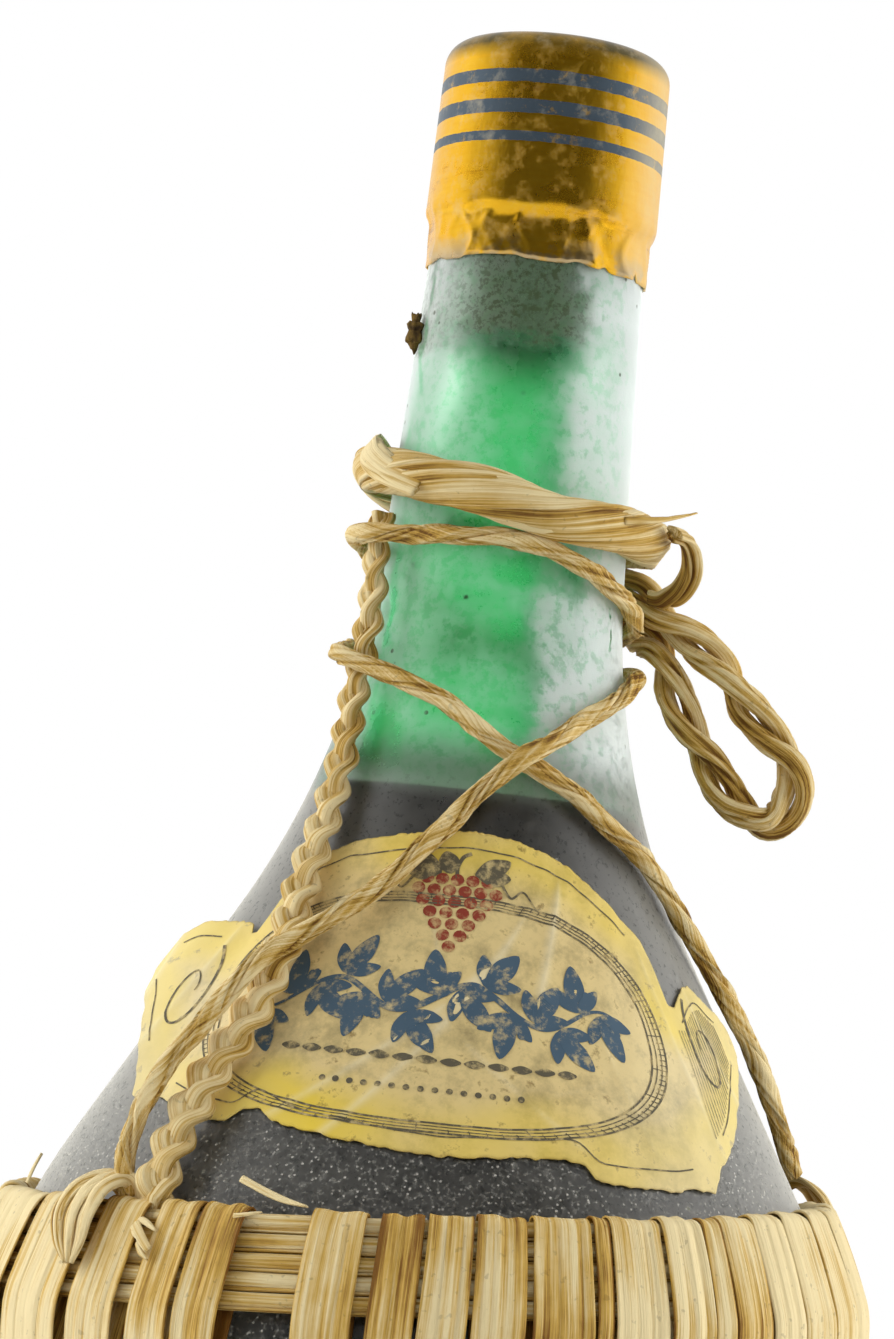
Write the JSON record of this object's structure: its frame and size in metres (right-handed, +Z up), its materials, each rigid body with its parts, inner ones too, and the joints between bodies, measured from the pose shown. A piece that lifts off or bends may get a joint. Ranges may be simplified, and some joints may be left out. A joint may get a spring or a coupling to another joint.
{
  "type": "chianti fiasco bottle",
  "caption": "Round-bottomed green glass wine flask in a straw basket, with cork, foil capsule, paper label and raffia hanging cords.",
  "frame": {"origin": "on the floor, at the middle of the straw ring that the flask stands in", "axes": "+Z up along the neck, -Y towards the front of the label, +X towards the side with the hanging loop"},
  "size_m": [0.1232, 0.1232, 0.2699],
  "materials": {
    "green_glass": "dusty translucent green glass",
    "wine": "dark red liquid",
    "cork": "dark stained cork",
    "gold_foil": "worn golden lacquered foil with blue-grey bands",
    "label_paper": "aged yellow paper",
    "straw": "dry pale straw",
    "raffia": "dry twisted raffia"
  },
  "bodies": {
    "bottle": {"flask": "green_glass", "wine": "wine", "label": "label_paper", "base_ring": "straw", "reed_1": "straw", "reed_2": "straw", "reed_3": "straw", "reed_4": "straw", "reed_5": "straw", "strip_1": "straw", "strip_2": "straw", "strip_3": "straw", "strip_4": "straw", "strip_5": "straw", "strip_6": "straw", "strip_7": "straw", "strip_8": "straw", "strip_9": "straw", "strip_10": "straw", "strip_11": "straw", "strip_12": "straw", "strip_13": "straw", "strip_14": "straw", "strip_15": "straw", "strip_16": "straw", "strip_17": "straw", "strip_18": "straw", "strip_19": "straw", "strip_20": "straw", "strip_21": "straw", "strip_22": "straw", "strip_23": "straw", "strip_24": "straw", "strip_25": "straw", "strip_26": "straw", "strip_27": "straw", "strip_28": "straw", "strip_29": "straw", "strip_30": "straw", "strip_31": "straw", "strip_32": "straw", "strip_33": "straw", "strip_34": "straw", "strip_35": "straw", "strip_36": "straw", "strip_37": "straw", "strip_38": "straw", "strip_39": "straw", "strip_40": "straw", "side_rope": "raffia", "tie_cord": "raffia", "neck_bundle": "raffia", "hanging_loop": "raffia", "rim_knot_left": "raffia", "rim_knot_right": "raffia"},
    "cork": {"cork": "cork"},
    "capsule": {"capsule": "gold_foil"}
  },
  "joints": [
    {"name": "cork_pull", "type": "slide", "parent": "bottle", "child": "cork", "axis": [0, 0, 1], "range_m": [0, 0.055]},
    {"name": "capsule_lift", "type": "slide", "parent": "cork", "child": "capsule", "axis": [0, 0, 1], "range_m": [0, 0.045]}
  ]
}
